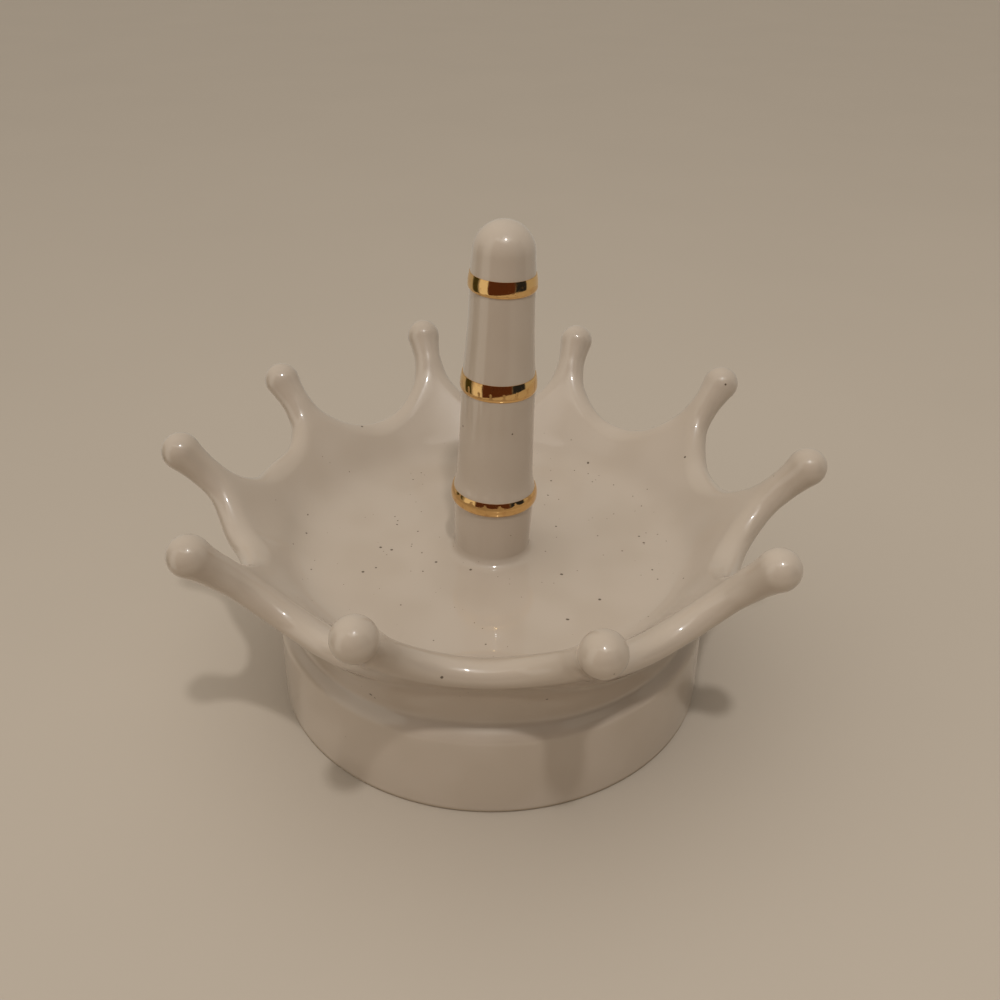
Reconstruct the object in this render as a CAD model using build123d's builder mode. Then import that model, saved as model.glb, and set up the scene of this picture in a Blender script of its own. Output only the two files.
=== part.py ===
from build123d import *
from dataclasses import dataclass
from math import cos, degrees, radians, sin
import os

# Ring dish: a glazed porcelain crown on a round hollow foot, with a slim post in the middle of its
# bowl that rings are slipped over. Three raised ridges on the post are gilded.
# Millimetres. The origin is the centre of the foot on the table, +Z is up, and +Y points away from
# the side that the dish is seen from. The crown's ten points start at +X and go round evenly.

# Foot
foot_radius = 37.8
foot_edge_round = 0.8
foot_rim_width = 4.2
foot_draft = 0.4
shoulder_height = 14.6
shoulder_round = 3.0
neck_inset = 2.3
neck_rise = 1.7

# Bowl
bowl_floor_rise = 8.4
bowl_floor_thickness = 4.0
bowl_corner_round = 13.0
recess_wall_thickness = 3.7
recess_corner_round = 4.0
vent_radius = 1.6

# Crown: a wall that flares from the bowl to the drops, scalloped between them
point_count = 10
lip_overhang = 4.4
bowl_depth = 4.6
wall_thickness = 4.6
lip_round = 2.1
flare_reach = 11.6
flare_rise = 13.2
drop_radius = 3.2
arm_neck_radius = 2.7
arm_neck_length = 5.6
arm_root_radius = 2.1
arm_root_length = 12.4
drop_shoulder_angle = 35
scallop_exponent = 2.4
scallop_width_share = 0.88
scallop_end_angle = 85
scallop_steps = 6
flare_foot_share = 0.2
wall_top_share = 0.6

# The drops were set by hand: how far each is out, round and up, as shares of a drop's radius
drop_out_shares = (0.1, 0.15, 0.0, 0.05, -0.15, 0.1, 0.05, -0.2, 0.05, -0.15)
drop_round_shares = (-0.1, -0.15, 0.1, 0.0, 0.05, 0.05, 0.1, 0.05, -0.15, -0.1)
drop_up_shares = (-0.15, 0.0, 0.05, 0.2, -0.3, -0.05, 0.05, 0.25, 0.05, 0.0)

# So were the scallops: how far the bottom of each is up the flare, as shares of the wall
scallop_up_shares = (0.1, 0.0, 0.0, 0.0, 0.3, 0.0, 0.0, 0.1, 0.0, 0.0)

# Post, measured along its own axis from the bowl's floor
post_lean_angle = 1.7
post_height = 57.3
post_base_radius = 6.35
post_wall_thickness = 2.4
slip_width = 1.3
slip_height = 1.4
slip_edge = 0.15

# The post's outline, as shares of its height and of its base radius, from the lowest ridge up
ridge_height = 2.5
lustre_thickness = 0.2
ridge_place_shares = (0.204, 0.56, 0.843)
ridge_under_shares = (1.047, 0.913, 0.767)
ridge_crest_shares = (1.134, 0.964, 0.835)
ridge_over_shares = (1.008, 0.891, 0.764)
waist_place_share = 0.715
waist_radius_share = 0.811
dome_radius_share = 0.748

# How far a cutter or a blank runs past what it meets
overrun = 1.0

os.makedirs("parts", exist_ok=True)

# Levels and reaches that follow from the sizes above
neck_radius = foot_radius - neck_inset
neck_height = shoulder_height + neck_rise
bowl_floor_height = neck_height + bowl_floor_rise
recess_ceiling = bowl_floor_height - bowl_floor_thickness

# The flare is straight from the lip to the drops, in the (reach, height) plane
lip_centre = Vector(neck_radius + lip_overhang, bowl_floor_height + bowl_depth)
flare = Vector(flare_reach, flare_rise)
drop_centre = lip_centre + flare
flare_along = flare.normalized()
flare_outward = Vector(flare_along.Y, -flare_along.X)

# Profile points of the crown dish, in the same plane
outer_lip = lip_centre + flare_outward * wall_thickness / 2
inner_lip = lip_centre - flare_outward * wall_thickness / 2
outer_flare_foot = outer_lip - flare * flare_foot_share
outer_wall_top = outer_lip + flare * wall_top_share
inner_wall_top = inner_lip + flare * wall_top_share
inner_wall_run = (inner_lip.Y - bowl_floor_height) * flare_along.X / flare_along.Y
bowl_corner = Vector(inner_lip.X - inner_wall_run, bowl_floor_height)
recess_ceiling_corner = Vector(neck_radius - recess_wall_thickness, recess_ceiling)
foot_inner_corner = Vector(foot_radius - foot_rim_width, 0)
foot_outer_corner = Vector(foot_radius, 0)
shoulder_corner = Vector(foot_radius - foot_draft, shoulder_height)
neck_corner = Vector(neck_radius, neck_height)


def polar_point(reach, angle, height):
    """A point at a reach from the Z axis, an angle in degrees round it and a height."""
    return Vector(reach * cos(radians(angle)), reach * sin(radians(angle)), height)


def drop_place(index):
    """Reach, angle and height of one drop's centre, with its hand-set offsets."""
    share = index % point_count % len(drop_out_shares)
    reach = drop_centre.X + drop_out_shares[share] * drop_radius
    swing = degrees(drop_round_shares[share] * drop_radius / drop_centre.X)
    height = drop_centre.Y + drop_up_shares[share] * drop_radius
    return reach, 360 * index / point_count + swing, height


def scallop_edge(index):
    """Points of a scallop's edge, hung between two neighbouring drops on a superellipse."""
    first, second = drop_place(index), drop_place(index + 1)
    middle_angle, half_angle = (first[1] + second[1]) / 2, (second[1] - first[1]) / 2
    low = (1 / 2 + scallop_up_shares[index % len(scallop_up_shares)]) * wall_thickness
    low_share = low / flare.length
    points = []
    for step in range(-scallop_steps, scallop_steps + 1):
        side = sin(radians(scallop_end_angle * step / scallop_steps))
        curve = 1 - (1 - abs(side) ** scallop_exponent) ** (1 / scallop_exponent)
        rise = low_share + (1 - low_share) * curve
        reach, _, height = first if side < 0 else second
        points.append(
            polar_point(
                lip_centre.X + rise * (reach - lip_centre.X),
                middle_angle + side * scallop_width_share * half_angle,
                lip_centre.Y + rise * (height - lip_centre.Y),
            )
        )
    return points


def scallop_plane(index):
    """The plane on the flare in the middle of a scallop, facing outward and down."""
    middle_angle = (drop_place(index)[1] + drop_place(index + 1)[1]) / 2
    normal = polar_point(flare_outward.X, middle_angle, flare_outward.Y)
    across = polar_point(1, middle_angle + 90, 0)
    origin = polar_point(lip_centre.X, middle_angle, lip_centre.Y)
    return Plane(origin=origin, x_dir=across, z_dir=normal)


def drop_plane(index):
    """The plane at a drop's centre, square to its arm and facing away from the bowl."""
    reach, angle, height = drop_place(index)
    root = drop_centre - flare_along * arm_root_length
    centre = polar_point(reach, angle, height)
    arm_root = polar_point(root.X, 360 * index / point_count, root.Y)
    return Plane(origin=centre, z_dir=centre - arm_root)


# One arm with its drop, drawn round its own axis with the drop's centre at the origin
with BuildPart() as arm_with_drop:
    with BuildSketch(Plane.XZ):
        with BuildLine():
            drop_arc = CenterArc((0, 0), drop_radius, -drop_shoulder_angle, 90 + drop_shoulder_angle)
            neck_top = (arm_neck_radius, -arm_neck_length)
            Spline(neck_top, drop_arc @ 0, tangents=((0, 1), drop_arc % 0))
            Polyline(
                neck_top,
                (arm_root_radius, -arm_root_length),
                (0, -arm_root_length),
                (0, drop_radius),
            )
        make_face()
    revolve(axis=Axis.Z)


# Crown dish: foot, bowl, flared wall, scallops, rounded lip, arms and drops, in one casting
with BuildPart() as crown_dish:
    with BuildSketch(Plane.XZ) as dish_profile:
        with BuildLine():
            Polyline(
                outer_flare_foot,
                outer_wall_top,
                inner_wall_top,
                bowl_corner,
                (0, bowl_floor_height),
                (0, recess_ceiling),
                recess_ceiling_corner,
                foot_inner_corner,
                foot_outer_corner,
                shoulder_corner,
                neck_corner,
            )
            TangentArc(outer_flare_foot, neck_corner, tangent=-flare_along)
        make_face()

        def corner(place):
            """The profile's vertex at a place."""
            return dish_profile.vertices().sort_by_distance(place)[0]

        fillet(corner(bowl_corner), bowl_corner_round)
        fillet(corner(recess_ceiling_corner), recess_corner_round)
        fillet(corner(shoulder_corner), shoulder_round)
        for foot_corner in (foot_inner_corner, foot_outer_corner):
            fillet(corner(foot_corner), foot_edge_round)
    revolve(axis=Axis.Z)

    for index in range(point_count):
        flare_plane = scallop_plane(index)
        edge_points = map(flare_plane.to_local_coords, scallop_edge(index))
        with BuildSketch(flare_plane.offset(-wall_thickness)):
            with BuildLine():
                scallop_line = Spline(*[(point.X, point.Y) for point in edge_points])
                Line(scallop_line @ 0, scallop_line @ 1)
            make_face()
        extrude(amount=2 * wall_thickness, mode=Mode.SUBTRACT)
        cut_edges = crown_dish.edges(Select.LAST).filter_by(GeomType.BSPLINE)
        fillet(cut_edges.sort_by(SortBy.LENGTH)[-2:], lip_round)

    for index in range(point_count):
        with Locations(drop_plane(index)):
            add(arm_with_drop.part)

    with Locations((0, 0, bowl_floor_height)):
        Hole(vent_radius, depth=bowl_floor_thickness + overrun)

crown_dish.part.label = "crown_dish"
export_step(crown_dish.part, "parts/crown_dish.step")


# The post's own frame: its axis leans a little towards +X from the middle of the bowl's floor
lean = radians(post_lean_angle)
post_origin = Vector(0, 0, bowl_floor_height)
post_axis = Axis(post_origin, (sin(lean), 0, cos(lean)))
post_plane = Plane(origin=post_origin, x_dir=(cos(lean), 0, -sin(lean)), z_dir=(0, -1, 0))
floor_plane = Plane.XY.offset(bowl_floor_height)


@dataclass
class Ridge:
    """A raised ridge of the post: where it lies along the post, and the radii of its outline."""

    start: float
    middle: float
    end: float
    under_radius: float
    crest_radius: float
    over_radius: float


def post_ridge(index):
    """One ridge, counted from the lowest."""
    middle = ridge_place_shares[index] * post_height
    radii = [
        shares[index] * post_base_radius
        for shares in (ridge_under_shares, ridge_crest_shares, ridge_over_shares)
    ]
    return Ridge(middle - ridge_height / 2, middle, middle + ridge_height / 2, *radii)


# Ring post: a hollow casting with three ridges and a round top, open at its foot
lower, middle, upper = (post_ridge(index) for index in range(len(ridge_place_shares)))
dome_radius = dome_radius_share * post_base_radius
dome_centre = post_height - dome_radius
bore_foot_radius = post_base_radius - post_wall_thickness
bore_top_radius = upper.under_radius - post_wall_thickness
with BuildPart() as ring_post:
    with BuildSketch(post_plane):
        with BuildLine():
            Polyline((0, post_height), (0, -overrun), (post_base_radius, -overrun), (post_base_radius, 0))
            Line((post_base_radius, 0), (lower.under_radius, lower.start))
            Line((lower.over_radius, lower.end), (middle.under_radius, middle.start))
            Spline(
                (middle.over_radius, middle.end),
                (waist_radius_share * post_base_radius, waist_place_share * post_height),
                (upper.under_radius, upper.start),
            )
            for ridge in (lower, middle, upper):
                ThreePointArc(
                    (ridge.under_radius, ridge.start),
                    (ridge.crest_radius - lustre_thickness, ridge.middle),
                    (ridge.over_radius, ridge.end),
                )
            Line((upper.over_radius, upper.end), (dome_radius, dome_centre))
            CenterArc((0, dome_centre), dome_radius, 0, 90)
        make_face()
    revolve(axis=post_axis)
    with BuildSketch(post_plane):
        with BuildLine():
            Polyline(
                (0, upper.end + bore_top_radius),
                (0, -overrun),
                (bore_foot_radius, -overrun),
                (bore_foot_radius, 0),
                (bore_top_radius, upper.end),
            )
            CenterArc((0, upper.end), bore_top_radius, 0, 90)
        make_face()
    revolve(axis=post_axis, mode=Mode.SUBTRACT)
    split(bisect_by=floor_plane, keep=Keep.TOP)

ring_post.part.label = "ring_post"
export_step(ring_post.part, "parts/ring_post.step")


# Luting slip: the bead of clay slip that joins the post to the bowl's floor
with BuildPart() as luting_slip_ring:
    with BuildSketch(post_plane):
        with BuildLine():
            slip_reach = post_base_radius + slip_width
            Polyline(
                (post_base_radius + slip_edge, slip_height),
                (post_base_radius - slip_edge, slip_height),
                (post_base_radius - slip_edge, -overrun),
                (slip_reach, -overrun),
                (slip_reach, slip_edge),
            )
            RadiusArc((slip_reach, slip_edge), (post_base_radius + slip_edge, slip_height), slip_height)
        make_face()
    revolve(axis=post_axis)
    split(bisect_by=floor_plane, keep=Keep.TOP)
    add(ring_post.part, mode=Mode.SUBTRACT)

luting_slip_ring.part.label = "luting_slip_ring"
export_step(luting_slip_ring.part, "parts/luting_slip_ring.step")


# Gold lustre: a fired skin over each ridge of the post
gilded_ridges = {"gold_band_lower": lower, "gold_band_middle": middle, "gold_band_upper": upper}
for name, ridge in gilded_ridges.items():
    skin_back = min(ridge.under_radius, ridge.over_radius) - lustre_thickness
    skin_foot = (ridge.under_radius + lustre_thickness, ridge.start)
    skin_top = (ridge.over_radius + lustre_thickness, ridge.end)
    with BuildPart() as gold_band:
        with BuildSketch(post_plane):
            with BuildLine():
                Polyline(skin_foot, (skin_back, ridge.start), (skin_back, ridge.end), skin_top)
                ThreePointArc(skin_foot, (ridge.crest_radius, ridge.middle), skin_top)
            make_face()
        revolve(axis=post_axis)
        add(ring_post.part, mode=Mode.SUBTRACT)
    gold_band.part.label = name
    export_step(gold_band.part, f"parts/{name}.step")
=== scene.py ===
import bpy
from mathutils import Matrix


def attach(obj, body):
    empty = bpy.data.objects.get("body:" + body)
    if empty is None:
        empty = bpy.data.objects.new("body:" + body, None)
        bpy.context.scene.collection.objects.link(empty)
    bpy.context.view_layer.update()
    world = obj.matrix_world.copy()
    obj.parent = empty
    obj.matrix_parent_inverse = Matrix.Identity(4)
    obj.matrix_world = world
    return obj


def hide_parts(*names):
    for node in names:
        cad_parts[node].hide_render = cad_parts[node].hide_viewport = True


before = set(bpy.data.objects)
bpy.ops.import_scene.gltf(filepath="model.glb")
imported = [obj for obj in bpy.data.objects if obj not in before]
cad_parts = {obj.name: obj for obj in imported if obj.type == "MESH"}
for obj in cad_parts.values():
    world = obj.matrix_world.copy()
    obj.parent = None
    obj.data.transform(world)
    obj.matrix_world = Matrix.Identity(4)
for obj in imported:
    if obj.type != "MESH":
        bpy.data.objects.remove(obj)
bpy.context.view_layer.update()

from math import asin, atan2, cos, degrees, hypot, radians, sin

import bmesh
import bpy
from bpy.props import FloatProperty, FloatVectorProperty, IntProperty, PointerProperty
from mathutils import Matrix, Vector

bl_info = {
    "name": "Ring dish",
    "version": (1, 0, 0),
    "blender": (4, 5, 0),
    "location": "View3D > Sidebar > Ring Dish",
    "description": "Models a glazed porcelain crown dish with a gilded ring post",
    "category": "Object",
}

MM = 0.001

# Nearer than this, two vertices are at the same place, or are doubles that get merged
SAME_PLACE = 0.001 * MM
DOUBLES = 0.005 * MM

# The drops were set one by one: how far each is out, round and up, as shares of a drop's radius
DROP_OUT = (0.1, 0.15, 0.0, 0.05, -0.15, 0.1, 0.05, -0.2, 0.05, -0.15)
DROP_ROUND = (-0.1, -0.15, 0.1, 0.0, 0.05, 0.05, 0.1, 0.05, -0.15, -0.1)
DROP_UP = (-0.15, 0.0, 0.05, 0.2, -0.3, -0.05, 0.05, 0.25, 0.05, 0.0)

# So were the scallops: how far the bottom of each is up the flare, as shares of the wall
SCALLOP_UP = (0.1, 0.0, 0.0, 0.0, 0.5, 0.0, 0.0, 0.15, 0.0, 0.0)

# The front scallop, by number, leans in and is thinner outside: by how much, as shares of the wall
LEANING_SCALLOPS = ((7, 0.13, 0.12),)

# The rim is fuller beside some arms: the arm, its side (1 is anticlockwise) and by how many
# millimetres, and how many degrees that is from the arm
FULLER_RIMS = ((5, 1, 2.0), (1, -1, 0.8))
RIM_ANGLE = 7.0

# How much of the dish each change takes hold of, and how far round that it is felt. A drop is
# held in shares of its radius and felt in shares of the flare's length. A rim is held and felt in
# shares of the wall. A scallop and its lip are held in shares of the wall and felt in shares of the
# flare's length
DROP_HOLD, DROP_FEEL = 1.2, 0.95
RIM_HOLD, RIM_FEEL = 0.75, 1.6
SCALLOP_HOLD, SCALLOP_FEEL = 0.8, 0.6
LEAN_HOLD, LEAN_FEEL = 1.3, 1.0
THINNER_HOLD, THINNER_FEEL = 1.0, 0.9

# The rim's four cage places by an arm and at the bottom of a scallop: how far from the rim's middle
# towards its edge, and out, as shares of half of the wall
RIM_BY_ARM = ((0.425, -1.02), (1.02, -0.425), (1.02, 0.425), (0.425, 1.02))
RIM_AT_BOTTOM = ((-0.5, -1.0), (0.82, -0.55), (1.06, 0.4), (0.5, 1.04))

# How much further the rim's cage reaches up under an arm, as a share of its reach beside the arm
UNDER_ARM = 0.6

# An arm's rings, from its root up: how far below the drop's centre, half of the width and half
# of the thickness, in millimetres
ARM_RINGS = ((7.6, 3.1, 2.45), (5.8, 2.72, 2.6), (4.3, 2.62, 2.62), (3.0, 2.75, 2.75))

# The sides of an arm's cage, the latitudes of its drop's rings in degrees, the height of the cage's
# flat top as a share of its radius and the top's width as a share of the last ring's, and how many
# degrees from the arm's middle the rim is open for it
ARM_SIDES = 10
DROP_LATITUDES = (-27, -3, 21, 45, 69)
DROP_TOP, DROP_TOP_WIDTH = 0.99, 0.7
ARM_ANGLE = 10

# The columns of the cage from one scallop's middle to the next
COLUMNS = 8

# The dish's outline in millimetres: the rings of the bowl's floor and of the hollow's ceiling, how
# much each corner is rounded, the vent's edge and how far the crease under the flare rises
FLOOR_RINGS = (4, 8, 13, 18, 22.5, 25.8)
CEILING_RINGS = (22, 15, 9, 4)
BOWL_ROUND, SHOULDER_ROUND, FOOT_ROUND, CEILING_ROUND = 5.0, 1.3, 0.9, 3.6
VENT_EDGE = 0.25
CREASE_RISE = 0.8

# And as shares: where the flare ends below the lip, and where cage places lie between the crease and
# the shoulder, down the foot, and up the hollow
FLARE_END = 0.2
UNDER_CREASE = 0.25
FOOT_PLACES = (0.4, 0.7, 0.87)
HOLLOW_PLACES = (0.2, 0.45, 0.67)

# The post's outline up to its round top: radius and height over the bowl's floor, in millimetres, with
# the latitudes of the top's rings in degrees, and the outline of its hollow from the top down
POST_OUTLINE = (
    (6.35, -0.3), (6.38, 1.0), (6.48, 4.0), (6.6, 8.0), (6.72, 10.3), (6.9, 12.6), (6.62, 13.5),
    (6.38, 14.6), (6.26, 16.2), (6.16, 19.0), (6.04, 23.0), (5.92, 28.0), (5.92, 31.0), (5.74, 33.3),
    (5.58, 35.2), (5.37, 38.0), (5.18, 41.2), (5.07, 44.2), (5.02, 47.0), (4.98, 49.6), (4.86, 51.0),
)
DOME_LATITUDES = range(0, 86, 7)
POST_BORE = ((0, 52.0), (1.4, 51.5), (2.4, 49.5), (3.95, 0.2), (3.95, -0.3))

# The slip round the post's foot, in the same way
SLIP_OUTLINE = (
    (6.2, 1.75), (6.4, 1.75), (6.41, 1.5), (6.47, 1.12), (6.62, 0.72), (6.86, 0.4), (7.2, 0.17),
    (7.6, 0.05), (8.0, 0.01), (8.4, 0.004), (8.4, -0.3), (6.2, -0.3),
)

# The gold bands: middle, half height, radius under, at the crest and over, in millimetres, and
# where the crest is, from -1 at the lower edge to 1 at the upper edge
BANDS = (
    ("lower", 11.5, 1.3, 6.72, 7.2, 6.86, -0.35),
    ("middle", 31.98, 1.38, 5.92, 6.12, 5.8, -0.4),
    ("upper", 48.3, 1.28, 5.02, 5.3, 5.02, -0.5),
)

# The steps from a band's crest to its edge, the power of its bulge, and in millimetres how far it
# stands proud of the glaze and how deep it goes
BAND_STEPS = 8
BAND_BULGE = 2.4
BAND_PROUD, BAND_DEPTH = 0.04, 0.4

# The steps of a full turn of the post, the slip and the bands
ROUND_STEPS = 96


def length_property(name, description, millimetres):
    return FloatProperty(name=name, description=description, default=millimetres * MM, unit="LENGTH")


def colour_property(name, description, colour):
    return FloatVectorProperty(
        name=name, description=description, default=colour, subtype="COLOR", min=0, max=1
    )


class RingDishSizes(bpy.types.PropertyGroup):
    """The sizes that the dish is modelled from"""

    points: IntProperty(name="Points", description="Drops round the crown", default=10, min=10, max=10)
    foot: length_property("Foot", "Radius of the foot", 37.8)
    foot_rim: length_property("Foot rim", "Width of the rim that the dish stands on", 4.2)
    shoulder: length_property("Shoulder", "Radius of the foot's shoulder", 37.4)
    shoulder_level: length_property("Shoulder level", "Height of the foot's shoulder", 14.6)
    neck: length_property("Neck", "Radius of the crease above the foot", 35.5)
    neck_level: length_property("Neck level", "Height of the crease above the foot", 16.3)
    floor_level: length_property("Bowl floor", "Height of the bowl's floor", 24.7)
    recess_level: length_property("Recess", "Height of the hollow inside the foot", 20.7)
    recess: length_property("Recess radius", "Radius of the hollow at its top", 31.8)
    vent: length_property("Vent", "Radius of the firing hole under the post", 1.6)
    lip: length_property("Lip", "Reach of the lip between two points", 39.9)
    lip_level: length_property("Lip level", "Height of the lip between two points", 29.3)
    wall: length_property("Wall", "Thickness of the crown's wall", 4.6)
    drop: length_property("Drop", "Radius of a drop", 3.2)
    drop_reach: length_property("Drop reach", "Reach of the drops' centres", 51.5)
    drop_level: length_property("Drop level", "Height of the drops' centres", 42.5)
    scallop_width: FloatProperty(
        name="Scallop width", description="Open share of the way between two drops",
        default=0.88, min=0.6, max=0.95, subtype="FACTOR",
    )
    scallop_squareness: FloatProperty(
        name="Scallop squareness", description="2 is an ellipse, and more is squarer",
        default=2.4, min=2, max=4,
    )
    post_lean: FloatProperty(
        name="Post lean", description="Lean of the post towards +X", default=radians(1.7), subtype="ANGLE"
    )
    post_height: length_property("Post height", "Length of the post from the bowl's floor", 57.3)
    dome: length_property("Dome", "Radius of the post's top", 4.75)


class RingDishColours(bpy.types.PropertyGroup):
    """The colours of the dish and of what it stands on"""

    glaze: colour_property("Glaze", "Warm white of the glazed porcelain", (0.495, 0.408, 0.325))
    glaze_pool: colour_property("Glaze pools", "Where the glaze lies thick", (0.47, 0.383, 0.30))
    bare_clay: colour_property("Bare clay", "Unglazed rim of the foot", (0.40, 0.32, 0.235))
    speck: colour_property("Specks", "Dark pin specks in the glaze", (0.10, 0.07, 0.045))
    gold: colour_property("Gold", "Fired gold lustre", (0.80, 0.52, 0.22))
    worn_gold: colour_property("Worn gold", "Gold lustre where it has rubbed thin", (0.50, 0.27, 0.11))
    table: colour_property("Table", "Pale floor under the dish", (0.50, 0.425, 0.342))


# Modelling helpers


def turned(reach, angle, level):
    """A place at a reach from the upright axis, an angle in degrees round it, and a level."""
    return Vector((reach * cos(radians(angle)), reach * sin(radians(angle)), level))


def in_millimetres(outline):
    """The places of an outline that is written as radius and height in millimetres."""
    return [turned(radius * MM, 0, level * MM) for radius, level in outline]


def angle_of(place):
    return degrees(atan2(place.y, place.x))


def deselect_everything():
    if bpy.context.object and bpy.context.object.mode != "OBJECT":
        bpy.ops.object.mode_set(mode="OBJECT")
    bpy.ops.object.select_all(action="DESELECT")


def select_vertices(test):
    """Selects the vertices, in edit mode, whose place passes the test."""
    bpy.ops.mesh.select_all(action="DESELECT")
    mesh = bmesh.from_edit_mesh(bpy.context.object.data)
    chosen = [vertex for vertex in mesh.verts if test(vertex.co)]
    if not chosen:
        raise RuntimeError("no vertex is where the next step needs one")
    for vertex in chosen:
        vertex.select_set(True)
    mesh.select_flush(True)
    bmesh.update_edit_mesh(bpy.context.object.data)


def pull(place, hold, shift, feel):
    """Moves the vertices that are within hold of a place, and draws along what is within feel of them."""
    select_vertices(lambda spot: (spot - place).length < hold)
    bpy.ops.transform.translate(
        value=shift, use_proportional_edit=True, proportional_edit_falloff="SMOOTH",
        proportional_size=feel, use_proportional_connected=True,
    )


def start_outline(name, places):
    """Starts a piece as one vertex, extrudes it through the places of its outline and closes it."""
    deselect_everything()
    bpy.ops.mesh.primitive_plane_add(size=MM, location=places[0])
    piece = bpy.context.object
    piece.name = piece.data.name = name
    bpy.ops.object.transform_apply(location=True, rotation=False, scale=False)
    bpy.ops.object.mode_set(mode="EDIT")
    bpy.ops.mesh.select_mode(type="VERT")
    bpy.ops.mesh.merge(type="CENTER")
    for start, end in zip(places, places[1:]):
        bpy.ops.mesh.extrude_region_move(TRANSFORM_OT_translate={"value": end - start})
    ends = (places[0], places[-1])
    select_vertices(lambda spot: min((spot - end).length for end in ends) < SAME_PLACE)
    bpy.ops.mesh.edge_face_add()
    bpy.ops.mesh.select_all(action="SELECT")
    return piece


def spin_upright():
    """Spins an outline a full turn about the upright axis."""
    bpy.ops.mesh.spin(steps=ROUND_STEPS, angle=radians(360), center=(0, 0, 0), axis=(0, 0, 1))


def close_skin():
    """Merges doubled vertices and turns all faces outward."""
    bpy.ops.mesh.select_all(action="SELECT")
    bpy.ops.mesh.remove_doubles(threshold=DOUBLES)
    bpy.ops.mesh.normals_make_consistent(inside=False)
    bpy.ops.object.mode_set(mode="OBJECT")


def smooth_out(piece, levels):
    """Finishes a cage with Subdivision Surface and smooth shading."""
    deselect_everything()
    piece.select_set(True)
    bpy.context.view_layer.objects.active = piece
    bpy.ops.object.modifier_add(type="SUBSURF")
    piece.modifiers[-1].levels = piece.modifiers[-1].render_levels = levels
    bpy.ops.object.modifier_apply(modifier=piece.modifiers[-1].name)
    bpy.ops.object.shade_smooth()


def finish_piece(piece, material, node):
    """Gives a piece its material, says what it rides on, and hides the CAD node that it stands for."""
    piece.data.materials.clear()
    piece.data.materials.append(material)
    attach(piece, "root")
    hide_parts(node)


# The crown dish


def flare_frame(sizes):
    """The lip's middle, the way along the flare, the way out of it and its length, in (reach, level)."""
    lip = Vector((sizes.lip, sizes.lip_level))
    along = Vector((sizes.drop_reach, sizes.drop_level)) - lip
    length = along.length
    along.normalize()
    return lip, along, Vector((along.y, -along.x)), length


def flare_place(sizes, angle, up, out):
    """A place on the flare at an angle from the drop on +X: up the flare and out of its middle."""
    lip, along, outward, _ = flare_frame(sizes)
    reach, level = lip + along * up + outward * out
    return turned(reach, angle, level)


def scallop_edge(sizes, angle):
    """Where a scallop's edge is, sideways and up the flare, at an angle in degrees from a drop."""
    _, along, _, length = flare_frame(sizes)
    half = 180 / sizes.points
    just_short_of_upright = 0.999
    side = min((half - abs(angle)) / (half * sizes.scallop_width), just_short_of_upright)
    power = sizes.scallop_squareness
    curve = 1 - (1 - abs(side) ** power) ** (1 / power)
    low = sizes.wall / 2
    up = low + (length - low) * curve
    return Vector((radians(angle) * (sizes.lip + along.x * up), up))


def rim_middle(sizes, angle):
    """The middle of the rim's round edge at an angle from a drop, and the way that the edge faces."""
    step = 0.05
    edge = scallop_edge(sizes, abs(angle))
    way = scallop_edge(sizes, abs(angle) + step) - scallop_edge(sizes, abs(angle) - step)
    facing = Vector((-way.y, way.x)).normalized()
    if angle < 0:
        edge.x, facing.x = -edge.x, -facing.x
    return edge - facing * sizes.wall / 2, facing


def corner_places(before, corner, after, round_off):
    """Four cage places round a corner that is smoothed, with its tangent length in millimetres."""
    back, on = (before - corner).normalized(), (after - corner).normalized()
    far = round_off * MM
    return [corner + back * far, corner + back * far / 3, corner + on * far / 3, corner + on * far]


def neck_sweep(start, heading, end, count):
    """Places on the arc from start, which it leaves on a heading, to end."""
    chord = end - start
    turn = heading.angle_signed(chord)
    places = []
    for step in range(1, count):
        share = step / count
        part = Matrix.Rotation(turn * (1 - share), 2) @ chord
        places.append(start + part * sin(turn * share) / sin(turn))
    return places


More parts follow.
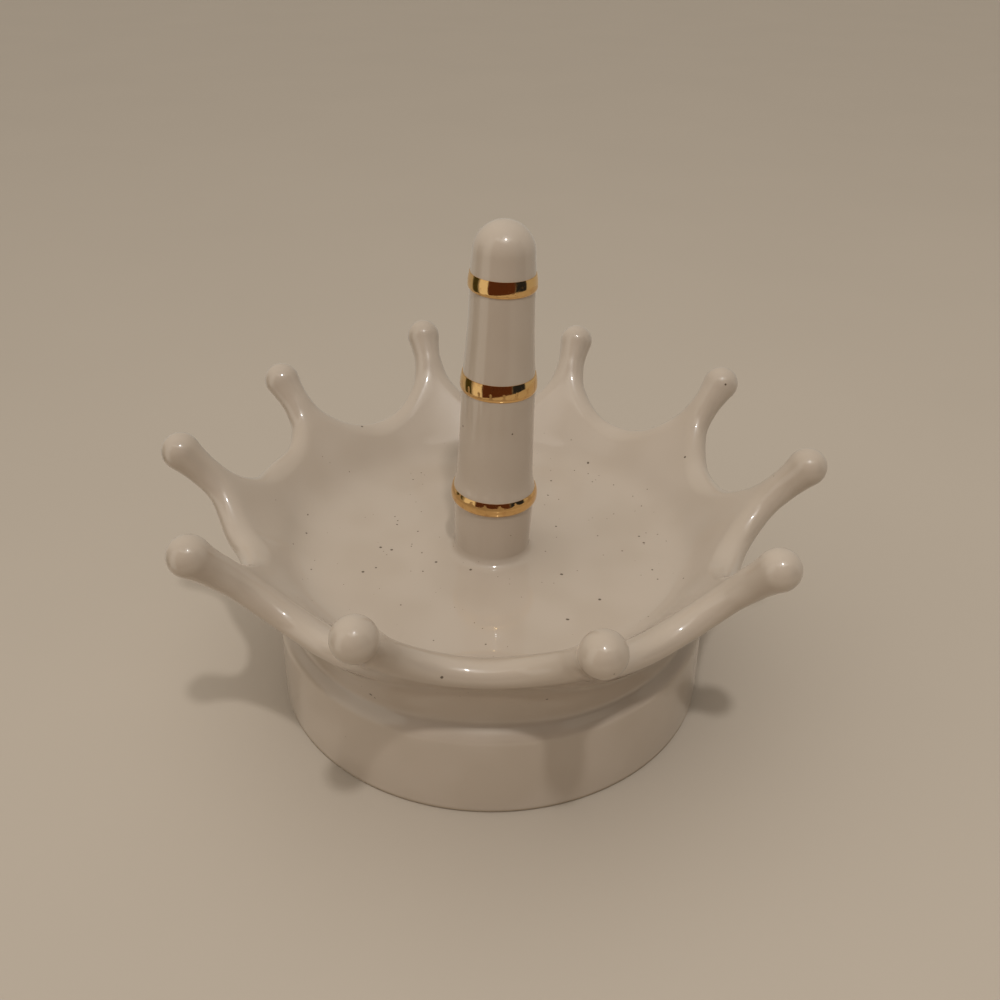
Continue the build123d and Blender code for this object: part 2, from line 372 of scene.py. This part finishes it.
def dish_outline(sizes):
    """The dish's closed cage outline through the bottom of a scallop, in (reach, level).

    It starts in the vent and runs over the floor, up the wall, round the rim, down the outside,
    under the foot and back. Also returned: the number of the first place of the rim's edge."""
    lip, along, outward, length = flare_frame(sizes)
    half_wall = sizes.wall / 2
    inner_lip, outer_lip = lip - outward * half_wall, lip + outward * half_wall
    run = (inner_lip.y - sizes.floor_level) / along.y
    bowl_corner = inner_lip - along * run
    floor_middle = Vector((0, sizes.floor_level))
    vent_top = Vector((sizes.vent, sizes.floor_level))
    vent_foot = Vector((sizes.vent, sizes.recess_level))
    level_edge, upright_edge = Vector((VENT_EDGE * MM, 0)), Vector((0, VENT_EDGE * MM))

    inside = [vent_top.lerp(vent_foot, 0.5), vent_top - upright_edge, vent_top + level_edge]
    inside += [Vector((reach * MM, sizes.floor_level)) for reach in FLOOR_RINGS]
    inside += corner_places(floor_middle, bowl_corner, inner_lip, BOWL_ROUND)
    wall_foot = inside[-1]
    rim = [lip + (along * up + outward * out) * half_wall for up, out in RIM_AT_BOTTOM]
    inside += [wall_foot.lerp(rim[0], 1 / 3), wall_foot.lerp(rim[0], 2 / 3)]

    flare_end = outer_lip - along * FLARE_END * length
    neck = Vector((sizes.neck, sizes.neck_level))
    shoulder = Vector((sizes.shoulder, sizes.shoulder_level))
    foot, foot_inside = Vector((sizes.foot, 0)), Vector((sizes.foot - sizes.foot_rim, 0))
    outside = [rim[-1].lerp(flare_end, 1 / 3), rim[-1].lerp(flare_end, 2 / 3), flare_end]
    outside += neck_sweep(flare_end, -along, neck, 4)
    outside += [neck + Vector((0, CREASE_RISE * MM)), neck, neck.lerp(shoulder, UNDER_CREASE)]
    outside += corner_places(neck, shoulder, foot, SHOULDER_ROUND)
    outside += [shoulder.lerp(foot, share) for share in FOOT_PLACES]
    outside += corner_places(shoulder, foot, foot_inside, FOOT_ROUND)
    outside += [foot.lerp(foot_inside, 0.5)]

    ceiling_middle = Vector((0, sizes.recess_level))
    hollow_corner = Vector((sizes.recess, sizes.recess_level))
    under = corner_places(foot, foot_inside, hollow_corner, FOOT_ROUND)
    under += [foot_inside.lerp(hollow_corner, share) for share in HOLLOW_PLACES]
    under += corner_places(foot_inside, hollow_corner, ceiling_middle, CEILING_ROUND)
    under += [Vector((reach * MM, sizes.recess_level)) for reach in CEILING_RINGS]
    under += [vent_foot + level_edge, vent_foot + upright_edge]
    return inside + rim + outside + under, len(inside)


def shape_sector(sizes, outline, rim_start):
    """Lifts the rim of the sector's columns to the scallops' edges, and the wall under it."""
    step = 360 / sizes.points / COLUMNS
    half_wall = sizes.wall / 2
    rim_end = rim_start + len(RIM_AT_BOTTOM) - 1
    wall_foot, flare_end = outline[rim_start - 3], outline[rim_end + 3]
    for column in range(-COLUMNS // 2, COLUMNS // 2 + 1):
        angle = column * step
        beside = angle if column else step
        middle, facing = rim_middle(sizes, beside)
        if not column:
            middle.x, facing = 0, Vector((0, facing.y + UNDER_ARM))
        turn = abs(beside) / scallop_edge(sizes, abs(beside)).x
        blunt = min(1, (abs(angle) * sizes.points / 180) ** 2)
        rim = []
        for by_arm, at_bottom in zip(RIM_BY_ARM, RIM_AT_BOTTOM):
            along_edge, out = Vector(by_arm).lerp(Vector(at_bottom), blunt) * half_wall
            sideways, up = middle + facing * along_edge
            rim.append(flare_place(sizes, sideways * turn, up, out))
        goals = {rim_start + row: place for row, place in enumerate(rim)}
        inner_foot = turned(wall_foot.x, angle, wall_foot.y)
        outer_foot = turned(flare_end.x, angle, flare_end.y)
        for row, share in ((2, 1 / 3), (1, 2 / 3)):
            goals[rim_start - row] = inner_foot.lerp(rim[0], share)
            goals[rim_end + row] = outer_foot.lerp(rim[-1], share)
        for row, goal in goals.items():
            if not column and rim_start < row < rim_end:
                continue
            place = turned(outline[row].x, angle, outline[row].y)
            select_vertices(lambda spot: (spot - place).length < SAME_PLACE)
            bpy.ops.transform.translate(value=goal - place)


def model_arm(sizes):
    """Models one arm and its drop upright, then leans it out to its place on +X.

    A smoothed cage draws in between its vertices, so the rings are drawn wider to make up for it."""
    round_swell = 1 / (2 / 3 + cos(radians(360 / ARM_SIDES)) / 3)
    latitude_step = DROP_LATITUDES[1] - DROP_LATITUDES[0]
    swell = 1 / (2 / 3 + cos(radians(latitude_step)) / 3)
    rings = [(-low * MM, width * MM, thickness * MM) for low, width, thickness in ARM_RINGS]
    for latitude in DROP_LATITUDES:
        reach = sizes.drop * swell * cos(radians(latitude))
        rings.append((sizes.drop * swell * sin(radians(latitude)), reach, reach))
    level, width, thickness = rings[0]
    deselect_everything()
    bpy.ops.mesh.primitive_circle_add(
        vertices=ARM_SIDES, radius=thickness * round_swell, location=(0, 0, level)
    )
    arm = bpy.context.object
    bpy.ops.object.transform_apply(location=True, rotation=False, scale=False)
    bpy.ops.object.mode_set(mode="EDIT")
    bpy.ops.mesh.select_all(action="SELECT")
    bpy.ops.transform.rotate(value=radians(90), orient_axis="Z", center_override=(0, 0, level))
    bpy.ops.transform.resize(value=(1, width / thickness, 1), center_override=(0, 0, level))
    for next_level, next_width, next_thickness in rings[1:]:
        bpy.ops.mesh.extrude_region_move(TRANSFORM_OT_translate={"value": (0, 0, next_level - level)})
        grow = (next_thickness / thickness, next_width / width, 1)
        bpy.ops.transform.resize(value=grow, center_override=(0, 0, next_level))
        level, width, thickness = next_level, next_width, next_thickness
    bpy.ops.mesh.fill_grid(span=2)
    inner_part = DROP_TOP_WIDTH * width
    select_vertices(lambda spot: spot.z > level - SAME_PLACE and hypot(spot.x, spot.y) < inner_part)
    bpy.ops.transform.translate(value=(0, 0, sizes.drop * swell * DROP_TOP - level))
    bpy.ops.mesh.select_all(action="SELECT")
    _, along, _, _ = flare_frame(sizes)
    bpy.ops.transform.rotate(value=-asin(along.x), orient_axis="Y", center_override=(0, 0, 0))
    bpy.ops.transform.translate(value=(sizes.drop_reach, 0, sizes.drop_level))
    deselect_everything()
    return arm


def join_arm(sector, arm):
    """Bridges the arm's root to the opening in the sector's rim."""
    arm.select_set(True)
    sector.select_set(True)
    bpy.context.view_layer.objects.active = sector
    bpy.ops.object.join()
    bpy.ops.object.mode_set(mode="EDIT")
    bpy.ops.mesh.select_all(action="DESELECT")
    bpy.ops.mesh.select_mode(type="EDGE")
    mesh = bmesh.from_edit_mesh(sector.data)
    for edge in mesh.edges:
        if edge.is_boundary and all(abs(angle_of(vertex.co)) < ARM_ANGLE for vertex in edge.verts):
            edge.select_set(True)
    bmesh.update_edit_mesh(sector.data)
    bpy.ops.mesh.bridge_edge_loops()
    bpy.ops.mesh.select_mode(type="VERT")


def set_scallops_by_hand(sizes):
    """Moves the bottom of each scallop a little up or down the flare."""
    _, along, _, length = flare_frame(sizes)
    edge = scallop_edge(sizes, 180 / sizes.points).y
    for point in range(sizes.points):
        angle = 360 / sizes.points * (point + 0.5)
        bottom = flare_place(sizes, angle, edge - sizes.wall / 2, 0)
        shift = turned(along.x, angle, along.y) * SCALLOP_UP[point] * sizes.wall
        if shift.length:
            pull(bottom, SCALLOP_HOLD * sizes.wall, shift, SCALLOP_FEEL * length)


def lean_scallops(sizes):
    """Leans the lip of some of the scallops in, and draws its outer edge further in."""
    _, _, outward, length = flare_frame(sizes)
    for point, leaning, thinner in LEANING_SCALLOPS:
        angle = 360 / sizes.points * (point + 0.5)
        inward = -turned(outward.x, angle, outward.y) * sizes.wall
        middle, edge = (
            flare_place(sizes, angle, SCALLOP_UP[point] * sizes.wall, out) for out in (0, sizes.wall / 2)
        )
        pull(middle, LEAN_HOLD * sizes.wall, inward * leaning, LEAN_FEEL * length)
        pull(edge, THINNER_HOLD * sizes.wall, inward * thinner, THINNER_FEEL * length)


def set_rims_by_hand(sizes):
    """Fills out the rim beside some of the arms, outward and away from the arm."""
    _, _, outward, _ = flare_frame(sizes)
    for point, side, fuller in FULLER_RIMS:
        angle = 360 / sizes.points * point
        middle, _ = rim_middle(sizes, RIM_ANGLE)
        place = flare_place(sizes, angle + side * RIM_ANGLE, middle.y, 0)
        way = turned(outward.x, angle, outward.y) + turned(1, angle + side * 90, 0)
        shift = way.normalized() * fuller * MM
        pull(place, RIM_HOLD * sizes.wall, shift, RIM_FEEL * sizes.wall)


def set_drops_by_hand(sizes):
    """Moves each drop a little off its even place, and its arm with it."""
    _, _, _, length = flare_frame(sizes)
    for point in range(sizes.points):
        angle = 360 / sizes.points * point
        centre = turned(sizes.drop_reach, angle, sizes.drop_level)
        shift = turned(DROP_OUT[point], angle, 0) + turned(DROP_ROUND[point], angle + 90, DROP_UP[point])
        pull(centre, DROP_HOLD * sizes.drop, shift * sizes.drop, DROP_FEEL * length)


class RINGDISH_OT_crown(bpy.types.Operator):
    """Model the crown dish: foot, bowl, flared wall, ten scallops, ten arms with drops"""

    bl_idname = "ringdish.crown"
    bl_label = "Crown dish"

    def execute(self, context):
        sizes = context.scene.ring_dish_sizes
        outline, rim_start = dish_outline(sizes)
        half = 180 / sizes.points
        crown = start_outline("crown", [turned(place.x, half, place.y) for place in outline])
        bpy.ops.mesh.spin(steps=COLUMNS, angle=radians(2 * half), center=(0, 0, 0), axis=(0, 0, 1))
        rim = outline[rim_start:rim_start + len(RIM_AT_BOTTOM)]
        past_first_column = 1.1 * 2 * half / COLUMNS

        def under_the_arm(spot):
            flat = Vector((hypot(spot.x, spot.y), spot.z))
            on_rim = min((flat - place).length for place in rim) < SAME_PLACE
            return on_rim and abs(angle_of(spot)) < past_first_column

        select_vertices(under_the_arm)
        bpy.ops.mesh.delete(type="FACE")
        shape_sector(sizes, outline, rim_start)
        deselect_everything()
        join_arm(crown, model_arm(sizes))
        bpy.ops.mesh.select_all(action="SELECT")
        rest = radians(360 - 2 * half)
        bpy.ops.mesh.spin(
            steps=sizes.points - 1, angle=rest, dupli=True, center=(0, 0, 0), axis=(0, 0, 1)
        )
        bpy.ops.mesh.select_all(action="SELECT")
        bpy.ops.mesh.remove_doubles(threshold=DOUBLES)
        set_scallops_by_hand(sizes)
        lean_scallops(sizes)
        set_rims_by_hand(sizes)
        set_drops_by_hand(sizes)
        close_skin()
        smooth_out(crown, 2)
        finish_piece(crown, glaze_material(), "crown_dish")
        return {"FINISHED"}


# The post


def lift_to_floor(sizes, lean):
    """Lifts a piece that was drawn on the ground to the bowl's floor, and leans it towards +X."""
    bpy.ops.mesh.select_all(action="SELECT")
    bpy.ops.transform.rotate(value=-lean, orient_axis="Y", center_override=(0, 0, 0))
    bpy.ops.transform.translate(value=(0, 0, sizes.floor_level))


class RINGDISH_OT_post(bpy.types.Operator):
    """Model the hollow ring post with its round top, and the slip at its foot"""

    bl_idname = "ringdish.post"
    bl_label = "Ring post"

    def execute(self, context):
        sizes = context.scene.ring_dish_sizes
        outline = in_millimetres(POST_OUTLINE)
        dome_level = sizes.post_height - sizes.dome
        for latitude in DOME_LATITUDES:
            tilt = radians(latitude)
            outline.append(turned(sizes.dome * cos(tilt), 0, dome_level + sizes.dome * sin(tilt)))
        outline.append(Vector((0, 0, sizes.post_height)))
        outline += in_millimetres(POST_BORE)
        post = start_outline("post", outline)
        spin_upright()
        lift_to_floor(sizes, sizes.post_lean)
        close_skin()
        bpy.ops.object.shade_smooth_by_angle(angle=radians(50))
        finish_piece(post, glaze_material(), "ring_post")

        slip = start_outline("slip", in_millimetres(SLIP_OUTLINE))
        spin_upright()
        lift_to_floor(sizes, 0)
        close_skin()
        bpy.ops.object.shade_smooth_by_angle(angle=radians(40))
        finish_piece(slip, glaze_material(), "luting_slip_ring")
        return {"FINISHED"}


def band_outline(middle, half_height, under, crest, over, crest_share):
    """A band's outline in millimetres: a bulge that is fullest at its crest, and a flat back."""
    def base_line(share):
        return (under + over) / 2 + (over - under) / 2 * share

    outline = []
    for step in range(-BAND_STEPS, BAND_STEPS + 1):
        share = sin(radians(90 * step / BAND_STEPS))
        from_crest = (share - crest_share) / (1 - crest_share if share > crest_share else 1 + crest_share)
        bulge = (crest - base_line(crest_share)) * (1 - abs(from_crest) ** BAND_BULGE)
        outline.append((base_line(share) + bulge + BAND_PROUD, middle + half_height * share))
    back = min(under, over) - BAND_DEPTH
    return outline + [(back, outline[-1][1]), (back, outline[0][1])]


class RINGDISH_OT_bands(bpy.types.Operator):
    """Model the three gold bands on the post's ridges"""

    bl_idname = "ringdish.bands"
    bl_label = "Gold bands"

    def execute(self, context):
        sizes = context.scene.ring_dish_sizes
        for name, *shape in BANDS:
            band = start_outline("band_" + name, in_millimetres(band_outline(*shape)))
            spin_upright()
            lift_to_floor(sizes, sizes.post_lean)
            close_skin()
            bpy.ops.object.shade_smooth_by_angle(angle=radians(50))
            finish_piece(band, gold_material(), "gold_band_" + name)
        return {"FINISHED"}


# Materials

# How far the dish's gloss mirrors the table: the middle, and where it starts to end and has ended
MIRRORED_TABLE = ((70 * MM, 0, 0), 174 * MM, 186 * MM)


def set_inputs(tree, node, inputs):
    """Gives a node's inputs their values, or links them where the value is another node's output."""
    for name, value in inputs.items():
        if isinstance(value, bpy.types.NodeSocket):
            tree.links.new(value, node.inputs[name])
        else:
            node.inputs[name].default_value = value


def add_node(tree, kind, place, inputs=None, **settings):
    """Adds a node at a place in its tree, with its settings and its inputs' values or links."""
    node = tree.nodes.new(kind)
    node.location = place
    for name, value in settings.items():
        setattr(node, name, value)
    set_inputs(tree, node, inputs or {})
    return node


def add_sum(tree, place, operation, *values):
    """The result of a sum of one or two values."""
    node = add_node(tree, "ShaderNodeMath", place, dict(enumerate(values)), operation=operation)
    return node.outputs[0]


def add_range(tree, place, value, start, end, low=0.0, high=1.0, smooth=True):
    """A value that goes from low to high as another goes from start to end, and no further."""
    node = add_node(
        tree, "ShaderNodeMapRange", place,
        {"Value": value, "From Min": start, "From Max": end, "To Min": low, "To Max": high},
        interpolation_type="SMOOTHSTEP" if smooth else "LINEAR",
    )
    return node.outputs["Result"]


def mix_colours(tree, place, share, first, second):
    """A mix of two colours, each a colour or another node's output."""
    first, second = (
        value if isinstance(value, bpy.types.NodeSocket) else (*value, 1) for value in (first, second)
    )
    mix = add_node(tree, "ShaderNodeMix", place, {0: share, 6: first, 7: second}, data_type="RGBA")
    return mix.outputs[2]


def start_group(name, sockets_in, sockets_out):
    """Starts a node group with named sockets: the group, what it is given and what it puts out."""
    tree = bpy.data.node_groups.new(name, "ShaderNodeTree")
    for label, kind, value in sockets_in:
        socket = tree.interface.new_socket(name=label, in_out="INPUT", socket_type=kind)
        if value is not None:
            socket.default_value = value
    for label, kind in sockets_out:
        tree.interface.new_socket(name=label, in_out="OUTPUT", socket_type=kind)
    given = add_node(tree, "NodeGroupInput", (-900, 0))
    return tree, given.outputs, add_node(tree, "NodeGroupOutput", (500, 0))


def glaze_flow_group():
    """Slow waves that fired glaze sets in: a normal, and a mask of where the glaze lies thick."""
    if "glaze flow" in bpy.data.node_groups:
        return bpy.data.node_groups["glaze flow"]
    tree, given, result = start_group(
        "glaze flow",
        (("Place", "NodeSocketVector", None), ("Wave", "NodeSocketFloat", 90.0),
         ("Ripple", "NodeSocketFloat", 420.0), ("Depth", "NodeSocketFloat", 0.5)),
        (("Thick", "NodeSocketFloat"), ("Normal", "NodeSocketVector")),
    )
    wave, ripple = (
        add_node(tree, "ShaderNodeTexNoise", place,
                 {"Vector": given["Place"], "Scale": given[scale], "Detail": detail}).outputs["Fac"]
        for place, scale, detail in (((-650, 150), "Wave", 1.0), ((-650, -150), "Ripple", 2.0))
    )
    small = add_sum(tree, (-400, -150), "MULTIPLY", ripple, 0.12)
    height = add_sum(tree, (-200, 0), "ADD", wave, small)
    bump = add_node(tree, "ShaderNodeBump", (100, -100), {
        "Strength": given["Depth"], "Distance": 0.5 * MM, "Height": height})
    thick = add_range(tree, (100, 200), wave, 0.35, 0.68)
    set_inputs(tree, result, {"Thick": thick, "Normal": bump.outputs["Normal"]})
    return tree


def pin_speck_group():
    """Scattered pin specks of dust and iron: a mask with a few small round spots, most of them tiny."""
    if "pin specks" in bpy.data.node_groups:
        return bpy.data.node_groups["pin specks"]
    tree, given, result = start_group(
        "pin specks",
        (("Place", "NodeSocketVector", None), ("Cells", "NodeSocketFloat", 300.0),
         ("Size", "NodeSocketFloat", 0.06), ("Share", "NodeSocketFloat", 0.1)),
        (("Mask", "NodeSocketFloat"),),
    )
    cells = add_node(tree, "ShaderNodeTexVoronoi", (-650, 0), {
        "Vector": given["Place"], "Scale": given["Cells"]}).outputs
    chance = add_node(tree, "ShaderNodeSeparateColor", (-450, -100), {"Color": cells["Color"]}).outputs
    chosen = add_sum(tree, (-250, -100), "LESS_THAN", chance["Red"], given["Share"])
    rare = add_sum(tree, (-400, -280), "POWER", chance["Green"], 6.0)
    share = add_range(tree, (-330, -280), rare, 0.0, 1.0, 0.28, 1.0, smooth=False)
    width = add_sum(tree, (-250, -280), "MULTIPLY", share, given["Size"])
    edge = add_sum(tree, (-80, -280), "MULTIPLY", width, 1.6)
    spot = add_range(tree, (0, 100), cells["Distance"], edge, width)
    mask = add_sum(tree, (250, 0), "MULTIPLY", spot, chosen)
    set_inputs(tree, result, {"Mask": mask})
    return tree


def start_material(name):
    """Starts a material: the material, its tree, its shader and the place on the object."""
    material = bpy.data.materials.new(name)
    material.use_nodes = True
    tree = material.node_tree
    shader = tree.nodes["Principled BSDF"]
    shader.location, tree.nodes["Material Output"].location = (600, 0), (900, 0)
    place = add_node(tree, "ShaderNodeTexCoord", (-1300, 0)).outputs["Object"]
    return material, tree, shader, place


def add_flow(tree, place, **values):
    """Places the glaze's slow waves in a material."""
    inputs = {"Place": place, **values}
    return add_node(tree, "ShaderNodeGroup", (-900, 200), inputs, node_tree=glaze_flow_group()).outputs


def add_specks(tree, place, **values):
    """Places pin specks in a material."""
    inputs = {"Place": place, **values}
    group = add_node(tree, "ShaderNodeGroup", (-900, -200), inputs, node_tree=pin_speck_group())
    return group.outputs["Mask"]


def glaze_material():
    """Clear glossy glaze over warm white clay, with pin specks, and bare clay under the foot."""
    if "white glaze" in bpy.data.materials:
        return bpy.data.materials["white glaze"]
    colours = bpy.context.scene.ring_dish_colours
    glaze, pool, speck, clay = (
        tuple(colour) for colour in (colours.glaze, colours.glaze_pool, colours.speck, colours.bare_clay)
    )
    material, tree, shader, place = start_material("white glaze")
    flow = add_flow(tree, place, Depth=0.35)
    level = add_node(tree, "ShaderNodeSeparateXYZ", (-1150, -450), {"Vector": place}).outputs["Z"]

    # Dust falls on the bowl's floor, so most of the specks are there
    floor_level = bpy.context.scene.ring_dish_sizes.floor_level
    off_floor = add_sum(tree, (-1150, -650), "SUBTRACT", level, floor_level)
    away = add_sum(tree, (-1000, -650), "ABSOLUTE", off_floor)
    fallen = add_range(tree, (-1150, -250), away, 1 * MM, 4 * MM, 0.06, 0.006, smooth=False)
    specks = add_specks(tree, place, Cells=1500, Size=0.32, Share=fallen)

    bare = add_range(tree, (-650, -450), level, 1.0 * MM, 0.4 * MM)
    body = mix_colours(tree, (-300, 250), flow["Thick"], glaze, pool)
    spotted = mix_colours(tree, (-50, 150), specks, body, speck)
    set_inputs(tree, shader, {
        "Base Color": mix_colours(tree, (200, 100), bare, spotted, clay),
        "Roughness": add_range(tree, (200, -150), bare, 0.0, 1.0, 0.28, 0.85, smooth=False),
        "Specular IOR Level": 0.25,
        "Coat Weight": add_sum(tree, (200, -350), "SUBTRACT", 1.0, bare),
        "Coat Roughness": 0.04,
        "Normal": flow["Normal"],
    })
    return material


def gold_material():
    """Fired gold lustre, mirror smooth, rubbed a little thin."""
    if "gold lustre" in bpy.data.materials:
        return bpy.data.materials["gold lustre"]
    colours = bpy.context.scene.ring_dish_colours
    gold, worn_gold = tuple(colours.gold), tuple(colours.worn_gold)
    material, tree, shader, place = start_material("gold lustre")
    flow = add_flow(tree, place, Wave=160, Ripple=900, Depth=0.25)
    specks = add_specks(tree, place, Cells=900, Size=0.2, Share=0.12)
    rub = add_node(tree, "ShaderNodeTexNoise", (-900, -500), {"Vector": place, "Scale": 700.0, "Detail": 3.0})
    thin = add_range(tree, (-600, -500), rub.outputs["Fac"], 0.5, 0.75)
    worn = add_sum(tree, (-350, -350), "MAXIMUM", thin, specks)
    share = add_sum(tree, (-150, -350), "MULTIPLY", worn, 0.55)
    set_inputs(tree, shader, {
        "Base Color": mix_colours(tree, (100, 150), share, gold, worn_gold),
        "Metallic": 1.0,
        "Roughness": add_range(tree, (200, -150), worn, 0.0, 1.0, 0.08, 0.24, smooth=False),
        "Normal": flow["Normal"],
    })
    return material


def table_material():
    """Pale painted table top, faintly mottled. The gloss on the dish mirrors it only as far as its edge."""
    colour = tuple(bpy.context.scene.ring_dish_colours.table)
    darker = tuple(0.95 * part for part in colour)
    material, tree, shader, place = start_material("pale table")
    mottle = add_node(tree, "ShaderNodeTexNoise", (-900, 200), {
        "Vector": place, "Scale": 14.0, "Detail": 3.0})
    painted = mix_colours(tree, (-300, 200), mottle.outputs["Fac"], colour, darker)
    set_inputs(tree, shader, {"Base Color": painted, "Roughness": 0.65})
    middle, start, end = MIRRORED_TABLE
    reach = add_node(tree, "ShaderNodeVectorMath", (-900, -300), {0: place, 1: middle}, operation="DISTANCE")
    ended = add_range(tree, (-600, -300), reach.outputs["Value"], start, end)
    mirrored = add_node(tree, "ShaderNodeLightPath", (-600, -800)).outputs["Is Glossy Ray"]
    share = add_sum(tree, (-100, -300), "MULTIPLY", ended, mirrored)
    nothing = add_node(tree, "ShaderNodeBsdfTransparent", (600, -500))
    mix = add_node(tree, "ShaderNodeMixShader", (850, -200), {
        0: share, 1: shader.outputs[0], 2: nothing.outputs[0]})
    set_inputs(tree, tree.nodes["Material Output"], {"Surface": mix.outputs[0]})
    return material


# The stage

FLOOR_SIZE = 3

# The lamp, in metres and watts
KEY_PLACE, KEY_WIDTH, KEY_POWER = Vector((0.057, -0.244, 0.512)), 0.03, 0.82

# The camera: its place in millimetres, the way that it looks, its roll in degrees, and its lens and
# the sensor's width in millimetres
EYE, AHEAD, ROLL = Vector((4.65, -145.75, 124.77)), Vector((-0.0192, 0.8490, -0.5281)), 0.627
LENS, SENSOR = 36.39, 36

SURROUNDINGS = (0.98, 0.94, 0.88)

# Soft cards round the dish, in degrees: where the middle is, from the front towards +X and up from
# level, with half of the width and height, how soft the edge is, and the light that it gives
LIT_CARDS = (
    (180, 82, 8, 34, 10, (0.42, 0.40, 0.36)),
    (-180, 82, 8, 34, 10, (0.42, 0.40, 0.36)),
    (92, 42, 18, 38, 10, (0.13, 0.125, 0.115)),
    (-75, 36, 24, 20, 12, (1.0, 0.96, 0.89)),
    (0, 48, 14, 32, 10, (0.38, 0.355, 0.32)),
)

# More cards, which show only where the dish mirrors them: the room round it, a window on the left,
# a bright strip over the front, and the dark things that the gold shows
MIRRORED_CARDS = (
    (0, 210, 0, 100, 5, (0.43, 0.385, 0.32)),
    (-62, 16, 2, 46, 3, (0.74, 0.68, 0.58)),
    (-2, 45, 1, 49, 3, (0.085, 0.03, 0.016)),
    (0, 52, 56, 4.5, 1.5, (1.25, 1.13, 0.98)),
    (63, 20, 5, 34, 3, (0.02, 0.022, 0.03)),
    (-97, 14, -12, 26, 5, (0.05, 0.045, 0.015)),
)


def studio_world():
    """Soft pale surroundings with broad cards, and more of them for the gloss and the gold."""
    world = bpy.data.worlds.new("studio")
    world.use_nodes = True
    tree = world.node_tree
    way = add_node(tree, "ShaderNodeTexCoord", (-1600, 0)).outputs["Generated"]
    split = add_node(tree, "ShaderNodeSeparateXYZ", (-1400, 0), {"Vector": way}).outputs
    front = add_sum(tree, (-1200, -100), "MULTIPLY", split["Y"], -1.0)
    azimuth = add_sum(tree, (-1000, 0), "ARCTAN2", split["X"], front)
    elevation = add_sum(tree, (-1000, -200), "ARCSINE", split["Z"])
    mirrored = add_node(tree, "ShaderNodeLightPath", (-1000, -400)).outputs["Is Glossy Ray"]
    colour = SURROUNDINGS
    for index, card in enumerate(LIT_CARDS + MIRRORED_CARDS):
        round_to, half_width, up_to, half_height, soft, light = card
        share = 1.0 if index < len(LIT_CARDS) else mirrored
        row = -300 * index
        for angle, middle, half in ((azimuth, round_to, half_width), (elevation, up_to, half_height)):
            off = add_sum(tree, (-800, row), "SUBTRACT", angle, radians(middle))
            far = add_sum(tree, (-600, row), "ABSOLUTE", off)
            inside = add_range(tree, (-400, row), far, radians(half + soft), radians(half - soft))
            share = add_sum(tree, (-200, row), "MULTIPLY", inside, share)
        colour = mix_colours(tree, (0, row), share, colour, light)
    set_inputs(tree, tree.nodes["Background"], {"Color": colour, "Strength": 1.0})
    return world


class RINGDISH_OT_stage(bpy.types.Operator):
    """Lay the floor, set the soft lights and place the camera"""

    bl_idname = "ringdish.stage"
    bl_label = "Stage"

    def execute(self, context):
        scene = context.scene
        deselect_everything()
        bpy.ops.mesh.primitive_plane_add(size=FLOOR_SIZE, location=(0, 0, 0))
        floor = bpy.context.object
        floor.name = "floor"
        floor.data.materials.append(table_material())

        scene.world = studio_world()
        bpy.ops.object.light_add(type="AREA", location=KEY_PLACE)
        key = bpy.context.object
        key.name = "small key"
        key.data.shape = "DISK"
        key.data.size = KEY_WIDTH
        key.data.energy = KEY_POWER
        key.rotation_euler = (-KEY_PLACE).to_track_quat("-Z", "Y").to_euler()

        ahead = AHEAD.normalized()
        level_right = ahead.cross(Vector((0, 0, 1))).normalized()
        level_up = level_right.cross(ahead)
        right = level_right * cos(radians(ROLL)) + level_up * sin(radians(ROLL))
        up = right.cross(ahead)
        deselect_everything()
        bpy.ops.object.camera_add(location=EYE * MM)
        camera = bpy.context.object
        camera.rotation_euler = Matrix((right, up, -ahead)).transposed().to_euler()
        camera.data.lens = LENS
        camera.data.sensor_width = SENSOR
        camera.data.clip_start = 10 * MM
        scene.camera = camera
        scene.view_settings.view_transform = "Standard"
        return {"FINISHED"}


class RINGDISH_PT_panel(bpy.types.Panel):
    """The steps that make the ring dish, and its sizes and colours"""

    bl_idname = "RINGDISH_PT_panel"
    bl_label = "Ring dish"
    bl_space_type = "VIEW_3D"
    bl_region_type = "UI"
    bl_category = "Ring Dish"

    def draw(self, context):
        layout = self.layout
        for operator in OPERATORS:
            layout.operator(operator.bl_idname)
        for group in (context.scene.ring_dish_sizes, context.scene.ring_dish_colours):
            for name in group.__annotations__:
                layout.prop(group, name)


OPERATORS = (RINGDISH_OT_stage, RINGDISH_OT_crown, RINGDISH_OT_post, RINGDISH_OT_bands)
CLASSES = (RingDishSizes, RingDishColours, *OPERATORS, RINGDISH_PT_panel)


def register():
    for kind in CLASSES:
        bpy.utils.register_class(kind)
    bpy.types.Scene.ring_dish_sizes = PointerProperty(type=RingDishSizes)
    bpy.types.Scene.ring_dish_colours = PointerProperty(type=RingDishColours)


def unregister():
    del bpy.types.Scene.ring_dish_colours
    del bpy.types.Scene.ring_dish_sizes
    for kind in reversed(CLASSES):
        bpy.utils.unregister_class(kind)


def main():
    register()
    bpy.ops.ringdish.stage()
    bpy.ops.ringdish.crown()
    bpy.ops.ringdish.post()
    bpy.ops.ringdish.bands()


if __name__ == "__main__":
    main()
